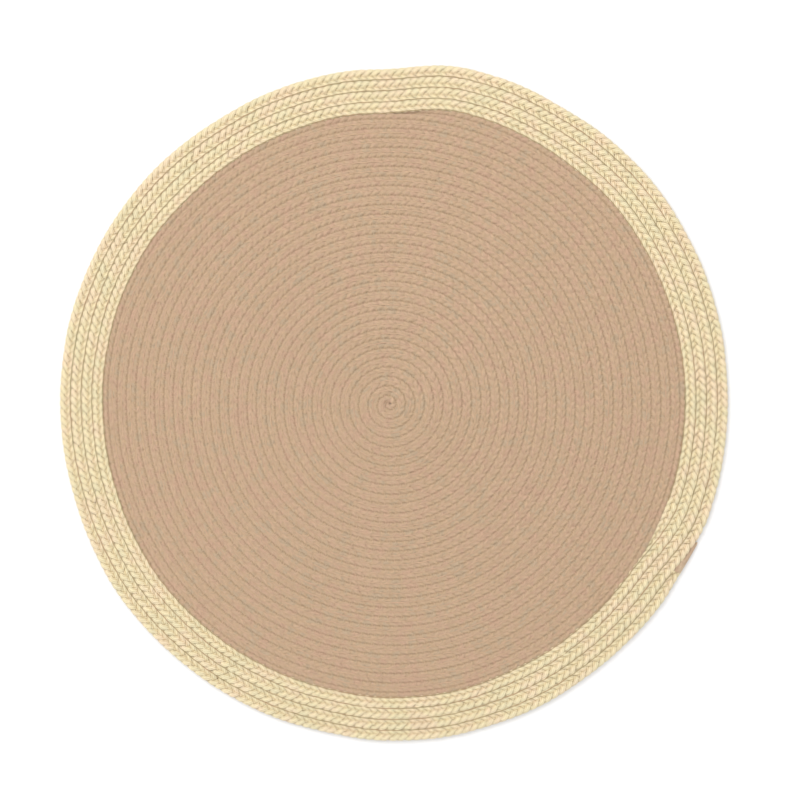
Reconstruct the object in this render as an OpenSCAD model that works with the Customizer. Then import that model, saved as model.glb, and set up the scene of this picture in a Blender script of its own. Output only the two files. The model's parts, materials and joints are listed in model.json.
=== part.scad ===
// Round coiled rug of two stitched braids: a wide field coiled from the centre out, and a pale
// border of four rows round it. Both braids wind anticlockwise seen from above.
// The three strands of each braid are drawn side by side as plain ribbons that follow the braid's
// own route. Every route is a chain of tangent arcs, so neighbouring rows stay exactly parallel.

/* [Field braid] */
// Width of one row of the field braid
field_row_w = 16.95; // [14.4:0.15:20.1]
// Number of rows from the centre to the border
field_rows = 31; // [24:1:34]

/* [Border braid] */
// Width of one row of the border braid
border_row_w = 18.6; // [16.2:0.3:22.2]
// Number of rows of the border braid
border_rows = 4; // [2:1:5]

/* [Strands] */
// Thickness of both braids
rug_h = 10; // [8:0.5:14]
// Gap between neighbouring ribbons
strand_gap = 0.3; // [0.2:0.05:0.5]

/* [Joints between rows] */
// Direction from the centre where the field braid starts to run out
field_end_at = 79; // [60:1:80]
// Direction from the centre where the border rows start to step outwards
border_joint_at = 325; // [310:1:330]
// Radius of the left-hand bend of a step, at the border's inner edge
step_left_r = 200; // [160:10:260]
// Radius of the right-hand bend of a step, at the border's inner edge
step_right_r = 600; // [400:20:800]

/* [Stitching] */
// Width of the lacing threads
thread_w = 1.2; // [0.8:0.1:1.4]
// Height of the lacing threads
thread_h = 0.7; // [0.5:0.1:0.9]
// Share of the last step at which the tail's wrapping starts
wrap_from = 0.3; // [0.15:0.01:0.3]
// Share of the last step at which the tail ends, blunt
wrap_to = 0.7; // [0.55:0.01:0.75]

/* [Hidden] */

arc_steps = 240;
round_steps = 24;
strands = 3;
cut_over = 1;
thread_clearance = 0.08;
tip_w = 1.2;

// A bend is drawn this much thinner all round than what it joins, and runs this far into it.
joint_fit = 0.02;
joint_lap = 0.5;
$thin = 0;

tan_jute = "#c2a07e";
cream_jute = "#ece0b4";
thread_tan = "#a98a5c";

// The coil is drawn as half turns about two centres that lie half a row apart.
lower_centre = [0, 0];
upper_centre = [-field_row_w / 2, 0];
lower_edge_r = field_rows * field_row_w;
upper_edge_r = lower_edge_r + field_row_w / 2;
border_w = border_rows * border_row_w;

// A step joins two arcs about one centre with a left-hand and a right-hand bend, tangent throughout.
function along(a) = [cos(a), sin(a)];
function heading(from, to) = (atan2(to.y - from.y, to.x - from.x) + 360) % 360;
function step_span(wide_r, tight_r) =
    let (left_arm = wide_r - step_left_r, right_arm = tight_r + step_right_r)
    acos((left_arm ^ 2 + right_arm ^ 2 - (step_left_r + step_right_r) ^ 2) / (2 * left_arm * right_arm));

// Where the field braid runs out, every row beyond it steps inwards by one field row.
in_span = step_span(upper_edge_r, upper_edge_r - field_row_w);
in_left = upper_centre + (upper_edge_r - step_left_r) * along(field_end_at);
in_right = upper_centre + (upper_edge_r - field_row_w + step_right_r) * along(field_end_at + in_span);
in_turn = heading(in_left, in_right);

// Where the border braid starts and ends, every row steps outwards by one border row.
out_span = step_span(lower_edge_r + border_row_w, lower_edge_r);
joint_end = border_joint_at + out_span;
out_right = lower_centre + (lower_edge_r + step_right_r) * along(border_joint_at);
out_left = lower_centre + (lower_edge_r + border_row_w - step_left_r) * along(joint_end);
out_turn = heading(out_left, out_right);

// A strand that is squeezed out along a step stops where its tip is still `tip_w` wide. The tip's
// inner side is `off` from a circle of radius r that the step's right-hand bend leaves.
function tip_angle(off, r) =
    sqrt(2 * (off + strand_gap + tip_w) / (1 / r + 1 / step_right_r)) / r * 180 / PI;
wrap_start = border_joint_at + wrap_from * out_span;
wrap_end = border_joint_at + wrap_to * out_span;

// The rug's outline reaches equally far left and right, and is moved to lie centred front to back.
back_reach = in_left.y + step_left_r + border_w;
front_reach = lower_edge_r + border_w;
centring = [0, (front_reach - back_reach) / 2, 0];

// Width of a ribbon, and the height at which a thread rests in the groove between two rows.
field_ribbon_w = field_row_w / strands - strand_gap;
border_ribbon_w = border_row_w / strands - strand_gap;
function groove_z(ribbon_w) =
    rug_h - ribbon_w / 2 + sqrt((ribbon_w / 2 + thread_clearance) ^ 2
        - ((ribbon_w + strand_gap - thread_w) / 2) ^ 2);

module ribbon_profile(full_w) {
    w = full_w - 2 * joint_fit * $thin;
    shoulder_z = rug_h - full_w / 2;
    translate([-w / 2, 0])
        square([w, shoulder_z]);
    translate([0, shoulder_z])
        circle(d = w, $fn = round_steps);
}

// A lacing thread is drawn as a flat-sided cord that lies in its groove.
module thread_profile(z) {
    fit = joint_fit * $thin;
    translate([-thread_w / 2 + fit, z + fit])
        square([thread_w - 2 * fit, thread_h - 2 * fit]);
}

// Sweeps the profile round part of a circle, from one direction from its centre to another.
module arc(centre, r, from, to) {
    translate([centre.x, centre.y, 0])
        rotate(from)
            mirror([0, to < from ? 1 : 0, 0])
                rotate_extrude(angle = abs(to - from), $fn = arc_steps)
                    translate([r, 0])
                        children();
}

// An arc that runs into what it joins at both ends, thinner so that it lies inside it there.
function lap_angle(r) = joint_lap / r * 180 / PI;
module bend(centre, r, from, to, thin = 1) {
    $thin = thin;
    arc(centre, r, from - lap_angle(r), to + lap_angle(r))
        children();
}

// The field braid's route, moved outwards by `out` from its own centre line.
module field_route(out, first_row = 0) {
    for (row = [first_row : field_rows - 1]) {
        arc(lower_centre, (row + 0.5) * field_row_w + out, 180, 360)
            children();
        arc(upper_centre, (row + 1) * field_row_w + out, 0, row < field_rows - 1 ? 180 : field_end_at)
            children();
    }
}

// One turn along the field's edge, moved outwards by `out`, from the joint round to the joint.
// Each arc starts at the left or the right, where the two centres' half turns meet exactly.
module edge_turn(out) {
    arc(lower_centre, lower_edge_r + out, 360, joint_end)
        children();
    arc(upper_centre, upper_edge_r + out, 0, field_end_at)
        children();
    step_in(out)
        children();
    arc(upper_centre, upper_edge_r - field_row_w + out, 180, field_end_at + in_span)
        children();
    arc(lower_centre, lower_edge_r + out, 180, border_joint_at)
        children();
}

module step_in(out) {
    bend(in_left, step_left_r + out, field_end_at, in_turn)
        children();
    bend(in_right, step_right_r - out, field_end_at + in_span + 180, in_turn + 180, thin = 2)
        children();
}

module step_out(out) {
    bend(out_left, step_left_r + out, out_turn, joint_end)
        children();
    bend(out_right, step_right_r - out, out_turn - 180, border_joint_at - 180, thin = 2)
        children();
}

// The border braid's route, moved outwards by `out` from its own inner edge.
module border_route(out) {
    for (row = [0 : border_rows - 1]) {
        edge_turn(row * border_row_w + out)
            children();
        if (row < border_rows - 1)
            step_out(row * border_row_w + out)
                children();
    }
}

// The room taken by a whole border row, used to cut the tapered ends that lie against it.
module row_room() {
    w = border_row_w + strand_gap - 2 * joint_fit * $thin;
    translate([-w / 2, -cut_over])
        square([w, rug_h + 2 * cut_over]);
}

module field_strand(index) {
    out = (index - (strands - 1) / 2) * field_row_w / strands;
    tip = tip_angle(index * field_row_w / strands, lower_edge_r);
    translate(centring) {
        field_route(out)
            ribbon_profile(field_ribbon_w);
        difference() {
            bend(upper_centre, lower_edge_r + out, field_end_at, field_end_at + in_span - tip)
                ribbon_profile(field_ribbon_w);
            step_in(border_row_w / 2)
                row_room();
        }
    }
}

module border_strand(index) {
    out = (index + 0.5) * border_row_w / strands;
    last_row = (border_rows - 1) * border_row_w;
    tip = tip_angle(index * border_row_w / strands, lower_edge_r);
    translate(centring) {
        border_route(out)
            ribbon_profile(border_ribbon_w);
        difference() {
            bend(lower_centre, lower_edge_r + out, border_joint_at + tip, joint_end)
                ribbon_profile(border_ribbon_w);
            step_out(border_row_w / 2)
                row_room();
        }
        difference() {
            bend(lower_centre, lower_edge_r + last_row + out, border_joint_at, wrap_start)
                ribbon_profile(border_ribbon_w);
            step_out(last_row - border_row_w / 2)
                row_room();
        }
    }
}

module field_lacing_thread() {
    color(thread_tan)
        translate(centring)
            field_route(-field_row_w / 2, first_row = 1)
                thread_profile(groove_z(field_ribbon_w));
}

module border_lacing_thread() {
    color(thread_tan)
        translate(centring)
            border_route(0)
                thread_profile(groove_z(border_ribbon_w));
}

module tail_wrapping() {
    w = border_row_w - strand_gap;
    middle = (border_rows - 0.5) * border_row_w;
    color(tan_jute)
        translate(centring)
            difference() {
                arc(lower_centre, lower_edge_r + middle, wrap_start + 2 * lap_angle(lower_edge_r), wrap_end)
                    translate([-w / 2, 0])
                        square([w, rug_h]);
                step_out(middle - border_row_w)
                    row_room();
            }
}

color(tan_jute) field_strand(0);  // field_strand_a
color(tan_jute) field_strand(1);  // field_strand_b
color(tan_jute) field_strand(2);  // field_strand_c
field_lacing_thread();
color(cream_jute) border_strand(0);  // border_strand_a
color(cream_jute) border_strand(1);  // border_strand_b
color(cream_jute) border_strand(2);  // border_strand_c
border_lacing_thread();
tail_wrapping();
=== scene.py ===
import json
import math

import bpy
import numpy as np
from mathutils import Matrix, Vector

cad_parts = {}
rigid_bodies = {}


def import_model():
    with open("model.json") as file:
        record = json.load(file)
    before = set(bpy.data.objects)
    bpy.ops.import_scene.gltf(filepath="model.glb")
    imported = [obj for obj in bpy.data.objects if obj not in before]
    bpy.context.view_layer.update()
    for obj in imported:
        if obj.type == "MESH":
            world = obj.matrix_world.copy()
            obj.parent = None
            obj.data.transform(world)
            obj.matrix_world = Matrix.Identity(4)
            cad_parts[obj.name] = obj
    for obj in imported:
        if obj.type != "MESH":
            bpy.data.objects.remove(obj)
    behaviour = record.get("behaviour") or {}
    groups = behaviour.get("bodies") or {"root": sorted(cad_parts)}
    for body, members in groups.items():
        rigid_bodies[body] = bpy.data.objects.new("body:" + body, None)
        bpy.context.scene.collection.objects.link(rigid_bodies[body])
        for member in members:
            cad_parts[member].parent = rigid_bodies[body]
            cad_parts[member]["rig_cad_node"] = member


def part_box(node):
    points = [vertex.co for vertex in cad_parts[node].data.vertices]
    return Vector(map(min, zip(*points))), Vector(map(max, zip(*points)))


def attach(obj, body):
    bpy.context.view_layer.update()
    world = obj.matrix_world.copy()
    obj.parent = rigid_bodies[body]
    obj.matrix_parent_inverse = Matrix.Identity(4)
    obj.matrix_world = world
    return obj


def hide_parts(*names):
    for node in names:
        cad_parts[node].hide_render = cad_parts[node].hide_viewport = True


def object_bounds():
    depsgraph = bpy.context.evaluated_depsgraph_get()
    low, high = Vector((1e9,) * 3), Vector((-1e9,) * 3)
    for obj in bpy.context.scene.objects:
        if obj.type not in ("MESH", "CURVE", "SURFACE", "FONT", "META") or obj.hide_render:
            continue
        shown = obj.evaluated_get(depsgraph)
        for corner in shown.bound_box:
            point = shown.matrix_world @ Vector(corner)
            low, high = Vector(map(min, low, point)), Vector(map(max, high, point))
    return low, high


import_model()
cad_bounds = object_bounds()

TAU = 2 * math.pi
BODY = "root"

# The coils: rows, and directions in degrees anticlockwise from +X as seen from above. The field
# starts and runs out at the first two, the border's rows step outwards at the joint, and a step
# spans so many degrees. The tail is wrapped between two shares of the last step.
FIELD_ROWS = 31
BORDER_ROWS = 4
FIELD_START = 45.0
FIELD_END = 76.0
JOINT = 325.0
STEP_SPAN = 16.0
WRAP_FROM = 0.30
WRAP_TO = 0.70

# Sizes taken from the frame: row widths from the two coils' boxes, thickness from the whole. The
# field's plaits bulge a little over the border, so the field's own rows end this much further in.
FIELD_INSET = 0.0035
field_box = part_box("field_strand_c")
field_reach = (field_box[1].x - field_box[0].x) / 2
rug_reach = (cad_bounds[1].x - cad_bounds[0].x) / 2
FIELD_W = (field_reach - FIELD_INSET) / FIELD_ROWS
BORDER_W = (rug_reach - field_reach + FIELD_INSET) / BORDER_ROWS
RUG_H = cad_bounds[1].z - cad_bounds[0].z
FLOOR_Z = cad_bounds[0].z

# The plaits. The period is a strand's full period in metres: three lobes. The rest are shares:
# how far a strand rises and sinks (of the height), how straight it runs along the plait's edges,
# how much of the row's width is tucked under the row before and bulges over the next, how deep
# the valley along the plait's middle is, and how steeply the plait rises outwards. A period has
# so many rings of points.
FIELD_PLAIT = {
    "period": 3 * 0.0136,
    "lift": 0.15,
    "flat": 1.8,
    "tuck": 0.05,
    "bulge": 0.05,
    "valley": 0.38,
    "tilt": 0.03,
    "rings": 18,
}
BORDER_PLAIT = {
    "period": 3 * 0.0142,
    "lift": 0.205,
    "flat": 1.45,
    "tuck": 0.17,
    "bulge": 0.03,
    "valley": 0.12,
    "tilt": 0.09,
    "rings": 20,
}

# A strand's half width and the valley's width as shares of the row's width, how much wider a
# strand spreads where it crosses the middle, and its half thickness at the edge and the crossing
# and the highest it may reach as shares of the rug's height.
EDGE_SHARE = 0.222
VALLEY_SHARE = 0.09
SPREAD = 0.34
EDGE_T = 0.33
CROSS_T = 0.25
TOP_SHARE = 1.04

# Shares of a step at which the field's braid ends and the border's begins, and the turn at which
# the field's twine begins.
FIELD_RUN_OUT = 0.93
BORDER_RUN_IN = 0.08
FIELD_TWINE_START = 500.0

# The field coil is cut into four parts, each with a quarter of its length.
FIELD_CUTS = (0.5, 0.707, 0.866)

# The border's first row is tucked under the field by only this share of the plait's own tuck, up
# to this turn of the coil.
FIRST_TUCK = 0.35
FIRST_ROW_END = 350.0

# The twine in the seams: diameter, stitch length and depth below the rug's top in metres, how far
# outside the seam it lies as a share of the row's width, its sides and the gap between its rings.
FIELD_TWINE = {
    "diameter": 0.0028,
    "stitch": 0.0272,
    "depth": 0.0022,
    "shift": 0.0,
    "sides": 6,
    "ring_gap": 0.0034,
}
# The border's twine lies just under the top and is darker than the border's jute. It is part real twine
# and part painted shade, standing in for the shadow in the seams between the border's rows.
BORDER_TWINE = {
    "diameter": 0.0016,
    "stitch": 0.0284,
    "depth": 0.0010,
    "shift": 0.05,
    "sides": 8,
    "ring_gap": 0.0025,
}

# The tail's winding yarn: its pitch and thickness in metres, and rings per turn.
WRAP_PITCH = 0.0022
WRAP_THICK = 0.0021
WRAP_STEP = 0.00006
WRAP_RINGS = 30

# The weave's rates, each along the strand per metre and across it per yarn: the yarns' lengths of
# one shade, the slanting plies and the fibres. Then how strong and how deep its bump is.
LENGTH_RATES = (55.0, 1.1)
PLY_RATES = (330.0, 1.4)
FIBRE_RATES = (240.0, 7.0)
BUMP_STRENGTH = 0.4
BUMP_DEPTH = 0.0006

# Rows into which the bake's map folds a long strip.
BAKE_ROWS = 26
WRAP_BAKE_ROWS = 12

# Section of a strand of three yarns side by side: place across and up, in shares of its half
# width and half thickness, and the yarn it lies on (crests at whole numbers, grooves at halves).
YARN_SECTION = np.array(
    [
        (1.00, 0.00, -1.5),
        (0.93, 0.56, -1.25),
        (0.67, 0.92, -1.0),
        (0.34, 0.58, -0.5),
        (0.14, 1.00, -0.2),
        (-0.14, 1.00, 0.2),
        (-0.34, 0.58, 0.5),
        (-0.67, 0.92, 1.0),
        (-0.93, 0.56, 1.25),
        (-1.00, 0.00, 1.5),
        (-0.72, -0.80, 2.1),
        (-0.25, -0.96, 2.7),
        (0.25, -0.96, 3.3),
        (0.72, -0.80, 3.9),
    ]
)
GIRTH = 6.0

# The hand-laid coil isn't quite round: waves per turn, size in metres, direction of the first crest.
OUTLINE_WAVES = (
    (1, 0.0076, 42.0),
    (2, 0.0032, 88.0),
    (3, 0.0008, 42.0),
    (6, 0.0012, -22.0),
)

# The rows also wander: slow waves across the rug, their rates in radians a metre, their slope.
SLOW_WAVES = 9
SLOW_WAVE_RATES = (18.0, 75.0)
SLOW_WAVE_SLOPE = 0.012

# The view: how much it shows as a share of the rug's radius, and its middle in metres.
VIEW_SHARE = 2.379711
VIEW_MIDDLE = (0.0108, 0.0054)

# How far the tail's outline is pulled in to run straight, in metres.
TAIL_STRAIGHTEN = 0.0022


def ease(t):
    t = np.clip(t, 0.0, 1.0)
    return t * t * (3 - 2 * t)


def wander(s, spacing, size, rng):
    """A smooth random line along s, with a new random height every `spacing`."""
    t = (s - s.min()) / spacing
    heights = rng.standard_normal(int(t.max()) + 3)
    i = t.astype(int)
    f = ease(t - i)
    return size * (heights[i] * (1 - f) + heights[i + 1] * f)


# ---------------------------------------------------------------- the two coils as strips


def field_outer(turn):
    """Radius of the field coil's outer edge after `turn` degrees, without the run-out at its end."""
    return FIELD_W * (1.0 + (turn - 270.0) / 360.0)


FIELD_STOP = FIELD_END + 360.0 * FIELD_ROWS


def field_edge(direction):
    """Radius of the whole field's edge in a direction, with the inward step where the braid runs out."""
    phi = np.mod(direction, 360.0)
    stepped = ease((phi - FIELD_END) / STEP_SPAN)
    last = field_outer(phi + 360.0 * FIELD_ROWS) - stepped * FIELD_W
    before = field_outer(phi + 360.0 * (FIELD_ROWS - 1))
    return np.where(phi <= FIELD_END + STEP_SPAN, last, before)


def field_strip(turn):
    """Inner and outer radius of the field braid after `turn` degrees."""
    outer = field_outer(turn)
    inner = np.maximum(outer - FIELD_W, 0.0)
    run_out = ease((turn - FIELD_STOP) / STEP_SPAN)
    return inner, outer - run_out * FIELD_W


def border_steps(turn):
    """How many rows the border has stepped outwards, `turn` degrees after its first joint."""
    joints = range(BORDER_ROWS + 1)
    return sum(ease((turn - 360.0 * n) / STEP_SPAN) for n in joints)


def border_strip(turn):
    """Inner and outer radius of the border braid, `turn` degrees after its first joint."""
    edge = field_edge(JOINT + turn)
    steps = border_steps(turn)
    inner = edge + BORDER_W * np.maximum(steps - 1.0, 0.0)
    outer = edge + BORDER_W * np.minimum(steps, float(BORDER_ROWS))
    tail = (turn - 360.0 * BORDER_ROWS) / STEP_SPAN / WRAP_TO
    straight = TAIL_STRAIGHTEN * np.clip(4 * tail * (1 - tail), 0.0, 1.0)
    return inner, outer - straight


BORDER_STOP = 360.0 * BORDER_ROWS + STEP_SPAN * WRAP_TO
WRAP_START = 360.0 * BORDER_ROWS + STEP_SPAN * WRAP_FROM


def lay_out(x, y):
    """Moves points of the true coil to where the hand-laid rug has them."""
    r = np.hypot(x, y)
    phi = np.arctan2(y, x)
    share = np.clip(r / rug_reach, 0.0, 1.0) ** 1.3
    push = sum(size * np.cos(n * (phi - math.radians(at))) for n, size, at in OUTLINE_WAVES)
    r2 = r + share * push
    waves = np.random.default_rng(5)
    dx = np.zeros_like(r)
    dy = np.zeros_like(r)
    for _ in range(SLOW_WAVES):
        k = waves.uniform(*SLOW_WAVE_RATES)
        a, b, c = waves.uniform(0, TAU, 3)
        phase = k * (x * math.cos(a) + y * math.sin(a)) + b
        dx += np.cos(c) * np.sin(phase) * SLOW_WAVE_SLOPE / k
        dy += np.sin(c) * np.sin(phase) * SLOW_WAVE_SLOPE / k
    return r2 * np.cos(phi) + dx * share, r2 * np.sin(phi) + dy * share


def centre_line(strip, start, stop, direction, ring_gap):
    """Points every `ring_gap` metres along a strip: place, outward direction, width and travel."""
    turn = np.arange(start, stop, 0.5)
    inner, outer = strip(turn)
    phi = np.radians(turn + direction)

    def place(radius):
        return np.stack(lay_out(radius * np.cos(phi), radius * np.sin(phi)), axis=1)

    a, b = place(inner), place(outer)
    middle = (a + b) / 2
    gaps = np.hypot(*np.diff(middle, axis=0).T)
    s = np.concatenate([[0.0], np.cumsum(gaps)])
    even = np.arange(0.0, s[-1], ring_gap)

    def resample(values):
        return np.stack([np.interp(even, s, v) for v in values.T], axis=1)

    p, across = resample(middle), resample(b - a)
    width = np.hypot(across[:, 0], across[:, 1])
    t = np.gradient(p, axis=0)
    t /= np.hypot(t[:, 0], t[:, 1])[:, None]
    out = np.stack([t[:, 1], -t[:, 0]], axis=1)
    return {"p": p, "out": out, "w": width, "s": even, "turn": np.interp(even, s, turn)}


# ---------------------------------------------------------------- meshes


def round_section(sides):
    angle = TAU * np.arange(sides) / sides - math.pi / 2
    return np.column_stack([np.cos(angle), np.sin(angle), GIRTH * np.arange(sides) / sides])


def tube(name, path, half_w, half_t, roll, section, seed, bake_rows, lumps=1.0, valley=None):
    """A closed tube of a given section along a path, with its own map of length and girth.

    `lumps` swells each point of each ring, and `valley` says how near it is to the plait's middle, where
    the material paints shade.
    """
    n, sides = len(path), len(section)
    t = np.gradient(path, axis=0)
    t /= np.linalg.norm(t, axis=1)[:, None]
    flat = np.stack([t[:, 1], -t[:, 0], np.zeros(n)], axis=1)
    flat /= np.linalg.norm(flat, axis=1)[:, None]
    up = np.cross(flat, t)
    h = flat * np.cos(roll)[:, None] + up * np.sin(roll)[:, None]
    v = up * np.cos(roll)[:, None] - flat * np.sin(roll)[:, None]
    across = half_w[:, None] * section[:, 0]
    above = half_t[:, None] * section[:, 1] * lumps
    ring = path[:, None, :] + h[:, None, :] * across[:, :, None] + v[:, None, :] * above[:, :, None]
    co = ring.reshape(-1, 3)
    i = np.arange(n - 1)[:, None] * sides
    j = np.arange(sides)[None, :]
    k = (j + 1) % sides
    quads = np.stack([i + j, i + k, i + sides + k, i + sides + j], axis=2).reshape(-1, 4)
    caps = [np.arange(sides)[::-1], (n - 1) * sides + np.arange(sides)]
    loops = np.concatenate([quads.ravel(), *caps])
    starts = np.concatenate([np.arange(len(quads)) * 4, len(quads) * 4 + np.array([0, sides])])

    mesh = bpy.data.meshes.new(name)
    mesh.vertices.add(len(co))
    mesh.vertices.foreach_set("co", co.ravel())
    mesh.loops.add(len(loops))
    mesh.loops.foreach_set("vertex_index", loops.astype(np.int32))
    mesh.polygons.add(len(starts))
    mesh.polygons.foreach_set("loop_start", starts.astype(np.int32))
    mesh.update(calc_edges=True)
    mesh.polygons.foreach_set("use_smooth", np.ones(len(starts), dtype=bool))

    travel = np.concatenate([[0.0], np.cumsum(np.linalg.norm(np.diff(path, axis=0), axis=1))])
    ends = np.zeros((2 * sides, 2))
    u0 = np.broadcast_to(travel[:-1, None], (n - 1, sides))
    u1 = np.broadcast_to(travel[1:, None], (n - 1, sides))
    g0 = np.broadcast_to(section[:, 2], (n - 1, sides))
    g1 = np.broadcast_to(np.append(section[1:, 2], section[0, 2] + GIRTH), (n - 1, sides))
    yarn = np.stack([u0, g0, u0, g1, u1, g1, u1, g0], axis=2).reshape(-1, 2)
    yarn = yarn + np.array([seed * 7.31, 0.0])
    layer = mesh.uv_layers.new(name="strand")
    layer.data.foreach_set("uv", np.concatenate([yarn, ends]).ravel())

    # The bake's map folds the long strip into rows that fill the square.
    per_row = int(math.ceil((n - 1) / bake_rows))
    row = (np.arange(n - 1) // per_row)[:, None]
    col = (np.arange(n - 1) % per_row)[:, None]
    edge = 0.06
    v0 = np.broadcast_to(j / sides, (n - 1, sides))
    v1 = v0 + 1 / sides
    left = 0.002 + 0.996 * col / per_row + np.zeros((1, sides))
    right = 0.002 + 0.996 * (col + 1) / per_row + np.zeros((1, sides))
    low = (row + edge + (1 - 2 * edge) * v0) / bake_rows
    high = (row + edge + (1 - 2 * edge) * v1) / bake_rows
    fold = np.stack([left, low, left, high, right, high, right, low], axis=2).reshape(-1, 2)
    layer = mesh.uv_layers.new(name="OFBake")
    layer.data.foreach_set("uv", np.concatenate([fold, ends + 0.001]).ravel())
    mesh.uv_layers.active = mesh.uv_layers["strand"]
    if valley is not None:
        depth = mesh.attributes.new("valley", "FLOAT", "POINT")
        depth.data.foreach_set("value", valley.ravel())

    mesh.validate()
    piece = bpy.data.objects.new(name, mesh)
    bpy.context.scene.collection.objects.link(piece)
    return piece


def place_piece(piece, nodes, material):
    piece.data.materials.append(material)
    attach(piece, BODY)
    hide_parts(*nodes)
    return piece


def sway(theta, flat):
    """A wave between -1 and 1 that runs straight across the middle and is flat at its crests."""
    slope = flat * np.arcsin(0.93 * np.sin(theta)) / math.asin(0.93)
    return slope / (1 + slope ** 6) ** (1 / 6) * (1 + flat ** -6) ** (1 / 6)


def strand_path(line, index, plait, seed):
    """One strand of a flat three-strand plait: its path and its section along the braid.

    The plait is a little wider than its row: its inner edge is tucked under the outer edge of the
    row before, and its outer edge bulges over the next row.
    """
    rng = np.random.default_rng(seed)
    s, w = line["s"], line["w"]
    period = plait["period"]
    theta = TAU * s / period + TAU * index / 3
    theta = theta + wander(s, period * 0.9, 0.14, rng)
    full = np.clip(w / line["w"].max(), 0.05, 1.0)
    height = RUG_H * full ** 0.5
    edge_w = EDGE_SHARE * w * (1 + wander(s, period * 0.5, 0.05, rng))
    tuck = plait["tuck"] * line.get("tucked", 1.0)
    inner, outer = -w / 2 - tuck * w, w / 2 + plait["bulge"] * w
    middle, swing = (inner + outer) / 2, (outer - inner) / 2 - edge_w
    x = middle + swing * sway(theta, plait["flat"])
    crossing = (1 + np.cos(2 * theta)) / 2
    z = height / 2 - plait["lift"] * height * np.sin(2 * theta)
    z = z + plait["tilt"] * (x - middle) * full
    z = z + wander(s, period * 0.35, 0.00018, rng)
    half_w = edge_w * (1 + SPREAD * crossing)
    half_t = height * (EDGE_T + (CROSS_T - EDGE_T) * crossing)
    half_t = half_t * (1 + wander(s, period * 0.3, 0.04, rng))
    roll = -0.3 * np.sin(theta) * (1 - crossing) + plait["tilt"] * full
    path = np.column_stack([line["p"] + line["out"] * x[:, None], FLOOR_Z + z])
    path = settle(path, half_t)

    # Each of the three yarns rises and sinks a little by itself.
    lumps = np.ones((len(s), len(YARN_SECTION)))
    for yarn in (-1, 0, 1):
        near = np.clip(1 - np.abs(YARN_SECTION[:, 2] - yarn), 0, 1)
        lumps += wander(s, period * 0.3, 0.09, rng)[:, None] * near

    # A shallow valley runs along the plait's middle, where the strands dive under each other.
    offset = x[:, None] + half_w[:, None] * YARN_SECTION[:, 0] - middle[:, None]
    # The same weight goes to the material as the "valley" attribute, which places the painted shade
    # along the middle.
    valley = np.exp(-((offset / (VALLEY_SHARE * w[:, None])) ** 2))
    lumps *= 1 - plait["valley"] * valley
    return {
        "path": path,
        "half_w": half_w,
        "half_t": half_t,
        "roll": roll,
        "lumps": lumps,
        "valley": valley,
    }


def settle(path, half_t):
    """Keeps a strand on the floor and under the rug's top."""
    low, high = FLOOR_Z + half_t, FLOOR_Z + RUG_H * TOP_SHARE - half_t
    path[:, 2] = np.clip(path[:, 2], low, np.maximum(low, high))
    return path


def bands(line, cuts):
    """Index ranges that cut a coil where it passes each of the given shares of its reach."""
    reach = np.hypot(line["p"][:, 0], line["p"][:, 1])
    marks = [0] + [int(np.argmax(reach > c * reach.max())) for c in cuts] + [len(reach)]
    return list(zip(marks[:-1], marks[1:]))


def strand_piece(name, strand, first, last, seed):
    """Part of a strand. Its end rings are slimmer, so that they hide inside the next part."""
    size = len(strand["path"])
    a, b = max(first - 1, 0), min(last + 2, size)
    slim = np.ones(b - a)
    if a > 0:
        slim[0] = 0.9
    if b < size:
        slim[-1] = 0.9
    cut = {key: values[a:b] for key, values in strand.items()}
    half_w, half_t = cut["half_w"] * slim, cut["half_t"] * slim
    return tube(
        name,
        cut["path"],
        half_w,
        half_t,
        cut["roll"],
        YARN_SECTION,
        seed,
        BAKE_ROWS,
        lumps=cut["lumps"],
        valley=cut["valley"],
    )


# ---------------------------------------------------------------- materials


def link(tree, a, b):
    tree.links.new(a, b)


def grey(level):
    return (level, level, level)


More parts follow.
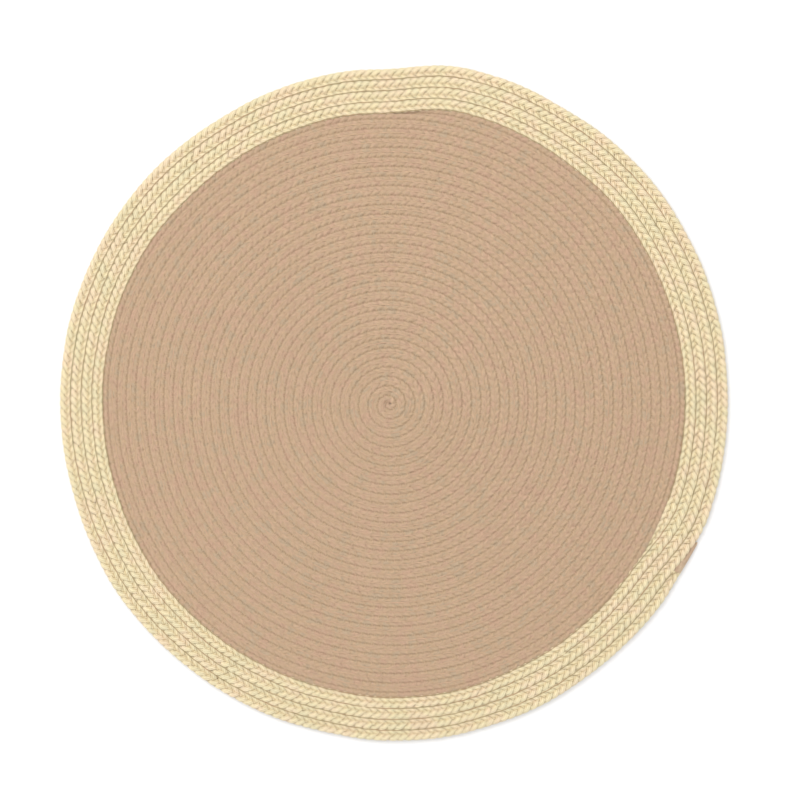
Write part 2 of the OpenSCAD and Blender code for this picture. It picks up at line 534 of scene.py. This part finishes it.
def jute_material(name, seed, shades, patch, edge, seam, vary, streak, sheen, valley=grey(1.0)):
    """Plied jute: patches of several shades, yarns that run along the strand, and fine fibres.

    `patch` is the patches' scale. `edge`, `seam` and `valley` are painted shade: the colours that darken
    the strand's edges where it meets its neighbours, the seams between its yarns and the plait's middle.
    `vary` and `streak` are the contrasts of the yarns' lengths and of the fibres.
    """
    mat = bpy.data.materials.new(name)
    mat.use_nodes = True
    tree = mat.node_tree
    tree.nodes.clear()
    new = tree.nodes.new
    out = new("ShaderNodeOutputMaterial")
    shader = new("ShaderNodeBsdfPrincipled")
    link(tree, shader.outputs["BSDF"], out.inputs["Surface"])
    shader.inputs["Sheen Weight"].default_value = sheen
    shader.inputs["Sheen Roughness"].default_value = 0.6
    shader.inputs["Specular IOR Level"].default_value = 0.18
    shader.inputs["Diffuse Roughness"].default_value = 1.0

    uv = new("ShaderNodeUVMap")
    uv.uv_map = "strand"
    where = new("ShaderNodeTexCoord")
    split = new("ShaderNodeSeparateXYZ")
    link(tree, uv.outputs["UV"], split.inputs["Vector"])

    def maths(operation, a, b):
        node = new("ShaderNodeMath")
        node.operation = operation
        for socket, value in zip(node.inputs, (a, b)):
            if isinstance(value, float):
                socket.default_value = value
            elif value is not None:
                link(tree, value, socket)
        return node.outputs["Value"]

    def rates(u, v, pair):
        return maths("MULTIPLY", u, pair[0]), maths("MULTIPLY", v, pair[1])

    def vector(x, y, z):
        node = new("ShaderNodeCombineXYZ")
        for socket, value in zip(node.inputs, (x, y, z)):
            if isinstance(value, float):
                socket.default_value = value
            else:
                link(tree, value, socket)
        return node.outputs["Vector"]

    def noise(coords, scale, detail):
        node = new("ShaderNodeTexNoise")
        link(tree, coords, node.inputs["Vector"])
        node.inputs["Scale"].default_value = scale
        node.inputs["Detail"].default_value = detail
        return node.outputs["Fac"]

    def ramp(fac, stops):
        node = new("ShaderNodeValToRGB")
        link(tree, fac, node.inputs["Fac"])
        elements = node.color_ramp.elements
        while len(elements) < len(stops):
            elements.new(0.5)
        for element, (at, colour) in zip(elements, stops):
            element.position = at
            element.color = (*colour, 1.0)
        return node.outputs["Color"]

    def mix(fac, a, b, mode="MIX"):
        node = new("ShaderNodeMix")
        node.data_type = "RGBA"
        node.blend_type = mode
        if isinstance(fac, float):
            node.inputs["Factor"].default_value = fac
        else:
            link(tree, fac, node.inputs["Factor"])
        link(tree, a, node.inputs["A"])
        link(tree, b, node.inputs["B"])
        return node.outputs["Result"]

    # Patches of shade, a few centimetres across, over the whole rug.
    patches = noise(where.outputs["Object"], patch, 3.0)
    count = len(shades)
    stops = [(0.36 + 0.28 * i / (count - 1), c) for i, c in enumerate(shades)]
    colour = ramp(patches, stops)

    # Each short length of each yarn is a little lighter or darker than its neighbours.
    u, v = split.outputs["X"], split.outputs["Y"]
    along = vector(*rates(u, v, LENGTH_RATES), float(seed))
    lengths = ramp(noise(along, 1.0, 2.0), [(0.3, grey(1 - vary)), (0.7, grey(1 + vary))])
    colour = mix(1.0, colour, lengths, "MULTIPLY")

    # Painted shade: the seams between yarns and the edges of the strand, where it meets its neighbours,
    # are darker.
    ridge = maths("ABSOLUTE", maths("COSINE", maths("MULTIPLY", v, math.pi), None), None)
    colour = mix(1.0, colour, ramp(ridge, [(0.0, seam), (0.6, grey(1.0))]), "MULTIPLY")
    middle = maths("ABSOLUTE", maths("COSINE", maths("MULTIPLY", v, math.pi / 3), None), None)
    colour = mix(1.0, colour, ramp(middle, [(0.22, edge), (0.5, grey(1.0))]), "MULTIPLY")

    # Painted shade: the valley along the plait's middle is darkened, where the strands dive under each
    # other.
    deep = new("ShaderNodeAttribute")
    deep.attribute_name = "valley"
    shade = ramp(deep.outputs["Fac"], [(0.1, grey(1.0)), (1.0, valley)])
    colour = mix(1.0, colour, shade, "MULTIPLY")

    # Plies: slanting stripes across each yarn. Fibres: thin streaks along it.
    twist = maths("ADD", *rates(u, v, PLY_RATES))
    ply = maths("ABSOLUTE", maths("SINE", maths("MULTIPLY", twist, math.pi), None), None)
    colour = mix(1.0, colour, ramp(ply, [(0.0, grey(0.9)), (0.6, grey(1.02))]), "MULTIPLY")
    fibre_at = vector(*rates(u, v, FIBRE_RATES), float(seed))
    fibres = noise(fibre_at, 1.0, 4.0)
    streaks = ramp(fibres, [(0.3, grey(1 - streak)), (0.7, grey(1 + streak))])
    colour = mix(1.0, colour, streaks, "MULTIPLY")
    link(tree, colour, shader.inputs["Base Color"])

    rougher = ramp(fibres, [(0.3, grey(0.8)), (0.7, grey(0.96))])
    link(tree, rougher, shader.inputs["Roughness"])

    relief = maths("ADD", maths("MULTIPLY", ridge, 0.5), maths("MULTIPLY", ply, 0.25))
    height = maths("ADD", relief, maths("MULTIPLY", fibres, 0.5))
    bumps = new("ShaderNodeBump")
    bumps.inputs["Strength"].default_value = BUMP_STRENGTH
    bumps.inputs["Distance"].default_value = BUMP_DEPTH
    link(tree, height, bumps.inputs["Height"])
    link(tree, bumps.outputs["Normal"], shader.inputs["Normal"])
    return mat


def field_jute():
    return jute_material(
        "field_jute",
        seed=1,
        shades=[(0.62, 0.432, 0.305), (0.62, 0.454, 0.314), (0.615, 0.449, 0.295), (0.58, 0.446, 0.311)],
        patch=60.0,
        # The edge, seam and valley colours are painted shade.
        edge=(0.97, 0.96, 0.94),
        seam=(0.97, 0.96, 0.95),
        valley=(0.70, 0.66, 0.60),
        vary=0.07,
        streak=0.08,
        sheen=0.15,
    )


def border_jute():
    return jute_material(
        "border_jute",
        seed=2,
        shades=[(0.89, 0.765, 0.57), (0.89, 0.79, 0.58), (0.88, 0.79, 0.555), (0.855, 0.785, 0.565)],
        patch=34.0,
        # The edge, seam and valley colours are painted shade.
        edge=(0.53, 0.44, 0.31),
        seam=(0.76, 0.69, 0.56),
        valley=(0.86, 0.79, 0.66),
        vary=0.05,
        streak=0.12,
        sheen=0.15,
    )


def lacing_twine_and_seam_shade():
    return jute_material(
        "lacing_twine_and_seam_shade",
        seed=3,
        # Darker than the border's jute, so that the twine also paints the shade in the seams between the
        # border's rows.
        shades=[(0.50, 0.40, 0.22), (0.54, 0.41, 0.23), (0.56, 0.38, 0.22)],
        patch=20.0,
        edge=grey(0.9),
        seam=grey(0.8),
        vary=0.1,
        streak=0.15,
        sheen=0.1,
    )


def field_twine():
    return jute_material(
        "field_twine",
        seed=4,
        shades=[(0.62, 0.43, 0.295), (0.63, 0.45, 0.305), (0.62, 0.445, 0.29)],
        patch=20.0,
        edge=grey(0.95),
        seam=grey(0.9),
        vary=0.1,
        streak=0.12,
        sheen=0.1,
    )


def wrapping_yarn():
    return jute_material(
        "wrapping_yarn",
        seed=5,
        shades=[(0.60, 0.43, 0.30), (0.64, 0.48, 0.33), (0.70, 0.55, 0.39)],
        patch=60.0,
        edge=grey(0.8),
        seam=grey(0.85),
        vary=0.08,
        streak=0.12,
        sheen=0.12,
    )


# ---------------------------------------------------------------- pieces


def build_field(material):
    """The field braid: three strands, each in four parts from the centre outwards."""
    stop = FIELD_STOP + STEP_SPAN * FIELD_RUN_OUT
    ring_gap = FIELD_PLAIT["period"] / FIELD_PLAIT["rings"]
    line = centre_line(field_strip, FIELD_START, stop, 0.0, ring_gap)
    parts = bands(line, FIELD_CUTS)
    for index, letter in enumerate("abc"):
        strand = strand_path(line, index, FIELD_PLAIT, 20 + index)
        for number, (first, last) in enumerate(parts):
            name = f"field_strand_{letter}_{number + 1}"
            piece = strand_piece(name, strand, first, last, len(parts) * index + number)
            place_piece(piece, [f"field_strand_{letter}"], material)


def build_border(material):
    """The border braid: three strands, four turns round the field."""
    start, stop = STEP_SPAN * BORDER_RUN_IN, BORDER_STOP
    ring_gap = BORDER_PLAIT["period"] / BORDER_PLAIT["rings"]
    line = centre_line(border_strip, start, stop, JOINT, ring_gap)
    later_rows = ease((line["turn"] - FIRST_ROW_END) / STEP_SPAN)
    line["tucked"] = FIRST_TUCK + (1 - FIRST_TUCK) * later_rows
    for index, letter in enumerate("abc"):
        strand = strand_path(line, index, BORDER_PLAIT, 40 + index)
        piece = strand_piece(f"border_strand_{letter}", strand, 0, len(line["s"]), 30 + index)
        place_piece(piece, [f"border_strand_{letter}"], material)


def groove_thread(name, line, twine, seed):
    """Twine laced along the seam between two rows, winding a little up and down and to and fro."""
    rng = np.random.default_rng(seed)
    s, w = line["s"], line["w"]
    stitch = twine["stitch"]
    theta = TAU * s / stitch + wander(s, stitch * 3, 0.5, rng)
    x = (twine["shift"] - 0.5) * w + 0.0004 * np.sin(theta)
    z = FLOOR_Z + RUG_H - twine["depth"] + 0.0003 * np.cos(2 * theta)
    z = z + wander(s, stitch * 2, 0.0002, rng)
    path = np.column_stack([line["p"] + line["out"] * x[:, None], z])
    half = np.full(len(s), twine["diameter"] / 2)
    section = round_section(twine["sides"])
    return tube(name, path, half, half, np.zeros(len(s)), section, seed, BAKE_ROWS)


def build_threads(field_material, border_material):
    """The field's twine starts in its second row, the border's where its first row is full width."""
    line = centre_line(
        field_strip, FIELD_TWINE_START, FIELD_STOP, 0.0, FIELD_TWINE["ring_gap"]
    )
    piece = groove_thread("field_lacing_thread", line, FIELD_TWINE, 61)
    place_piece(piece, ["field_lacing_thread"], field_material)
    line = centre_line(border_strip, STEP_SPAN, WRAP_START, JOINT, BORDER_TWINE["ring_gap"])
    piece = groove_thread("border_lacing_thread", line, BORDER_TWINE, 62)
    place_piece(piece, ["border_lacing_thread"], border_material)


def build_wrapping(material):
    """Yarn wound round the thinned end of the border braid, closing over its blunt tip."""
    line = centre_line(border_strip, WRAP_START, BORDER_STOP, JOINT, WRAP_STEP)
    s, w = line["s"], line["w"]
    around = TAU * (s / WRAP_PITCH)
    tip_length = 0.004
    left = (s[-1] - s) / tip_length
    closing = np.sqrt(np.clip(1 - (1 - np.clip(left, 0, 1)) ** 2, 0.02, 1.0))
    height = RUG_H * np.clip(w / w.max(), 0.05, 1.0) ** 0.5
    half_w = np.maximum(w / 2 - WRAP_THICK * 0.2, WRAP_THICK / 2) * closing
    half_h = np.maximum(height / 2 - WRAP_THICK * 0.3, WRAP_THICK / 2) * closing

    # The yarn winds round a section between an ellipse and a rectangle, and leans along the tail.
    squareness = 2.6
    c, d = np.cos(around), np.sin(around)
    reach = (np.abs(c) ** squareness + np.abs(d) ** squareness) ** (-1 / squareness)
    x = half_w * c * reach
    z = FLOOR_Z + height / 2 + half_h * d * reach
    lean = 0.0016 * c
    t = np.gradient(line["p"], axis=0)
    t /= np.hypot(t[:, 0], t[:, 1])[:, None]
    path = np.column_stack([line["p"] + line["out"] * x[:, None] + t * lean[:, None], z])
    path = path[:: max(1, int(WRAP_PITCH / WRAP_STEP / WRAP_RINGS))]
    path[:, 2] = np.maximum(path[:, 2], FLOOR_Z + WRAP_THICK / 2)
    half = np.full(len(path), WRAP_THICK / 2)
    flat = np.zeros(len(path))
    piece = tube("tail_wrapping", path, half, half, flat, round_section(8), 63, WRAP_BAKE_ROWS)
    place_piece(piece, ["tail_wrapping"], material)


def centre_rug():
    """Moves every piece so that the outline lies centred on the frame's origin."""
    made = [o for o in bpy.context.scene.objects if o.type == "MESH" and "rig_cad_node" not in o]
    co = []
    for o in made:
        part = np.zeros(len(o.data.vertices) * 3, np.float32)
        o.data.vertices.foreach_get("co", part)
        co.append(part.reshape(-1, 3)[:, :2])
    points = np.concatenate(co)
    middle = (points.min(0) + points.max(0)) / 2
    for o in made:
        o.data.transform(Matrix.Translation((-middle[0], -middle[1], 0.0)))


def build_floor():
    bpy.ops.mesh.primitive_plane_add(size=9.0, location=(0, 0, FLOOR_Z - 0.0002))
    floor = bpy.context.active_object
    floor.name = "floor"
    mat = bpy.data.materials.new("floor_white")
    mat.use_nodes = True
    shader = mat.node_tree.nodes["Principled BSDF"]
    shader.inputs["Base Color"].default_value = (0.93, 0.93, 0.93, 1.0)
    shader.inputs["Roughness"].default_value = 0.9
    shader.inputs["Specular IOR Level"].default_value = 0.1
    floor.data.materials.append(mat)


def build_light():
    world = bpy.data.worlds.new("studio")
    bpy.context.scene.world = world
    world.use_nodes = True
    back = world.node_tree.nodes["Background"]
    back.inputs["Color"].default_value = (1.0, 1.0, 1.0, 1.0)
    back.inputs["Strength"].default_value = 1.0
    lamp = bpy.data.lights.new("key", "AREA")
    lamp.shape = "DISK"
    lamp.size = 4.0
    lamp.energy = 120.0
    key = bpy.data.objects.new("key", lamp)
    key.location = (-2.4, 2.7, 3.8)
    key.rotation_mode = "QUATERNION"
    key.rotation_quaternion = (-Vector(key.location)).to_track_quat("-Z", "Y")
    bpy.context.scene.collection.objects.link(key)


def build_camera():
    """Straight above the rug, far enough for a flat view, a little right of its middle."""
    data = bpy.data.cameras.new("camera")
    data.lens = 85.0
    data.sensor_width = 36.0
    data.clip_end = 50.0
    camera = bpy.data.objects.new("camera", data)
    shown = VIEW_SHARE * rug_reach
    camera.location = (*VIEW_MIDDLE, RUG_H + shown * data.lens / data.sensor_width)
    bpy.context.scene.collection.objects.link(camera)
    bpy.context.scene.camera = camera


build_field(field_jute())
build_border(border_jute())
build_threads(field_twine(), lacing_twine_and_seam_shade())
build_wrapping(wrapping_yarn())
centre_rug()
build_floor()
build_light()
build_camera()
bpy.context.scene.view_settings.view_transform = "Standard"
